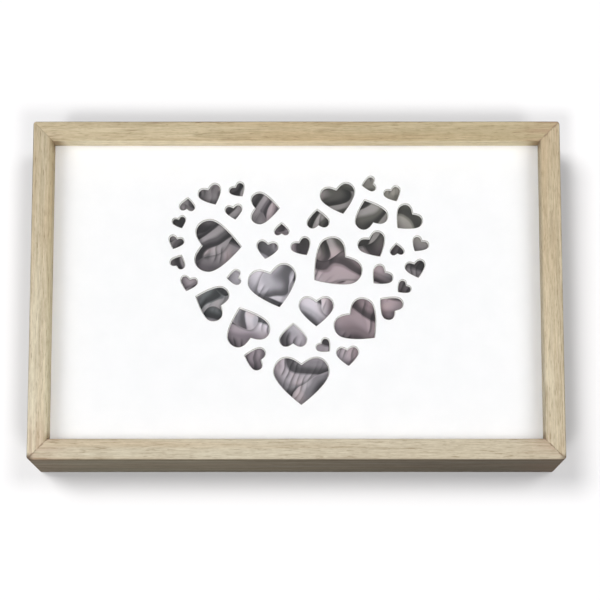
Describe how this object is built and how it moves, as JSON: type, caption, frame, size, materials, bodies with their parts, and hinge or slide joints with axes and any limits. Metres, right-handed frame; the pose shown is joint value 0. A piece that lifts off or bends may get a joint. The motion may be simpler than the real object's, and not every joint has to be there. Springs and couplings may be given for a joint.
{
  "type": "wooden photo box",
  "caption": "Deep wooden box frame of four mitred boards on edge, holding a set-back white mat pierced with a field of hearts over a printed picture board, with a closed back.",
  "frame": {"origin": "middle of the rear face, in the plane of the boards' rear edges; the box lies on its back", "axes": "+X along the long side, to the picture's right; +Y towards the picture's top edge; +Z out of the front"},
  "size_m": [0.32, 0.207, 0.065],
  "materials": {
    "rail_wood": "planed pale wood, unvarnished, fine lengthwise grain",
    "mat_board": "smooth matt white mat board with straight-cut edges",
    "picture_print": "satin print in mauve, lilac grey, charcoal and beige",
    "panel_board": "thin pressed wood panel, matt"
  },
  "bodies": {
    "root": {"rail_top": "rail_wood", "rail_bottom": "rail_wood", "rail_left": "rail_wood", "rail_right": "rail_wood", "heart_mat": "mat_board", "picture_board": "picture_print", "back_panel": "panel_board"}
  },
  "joints": []
}
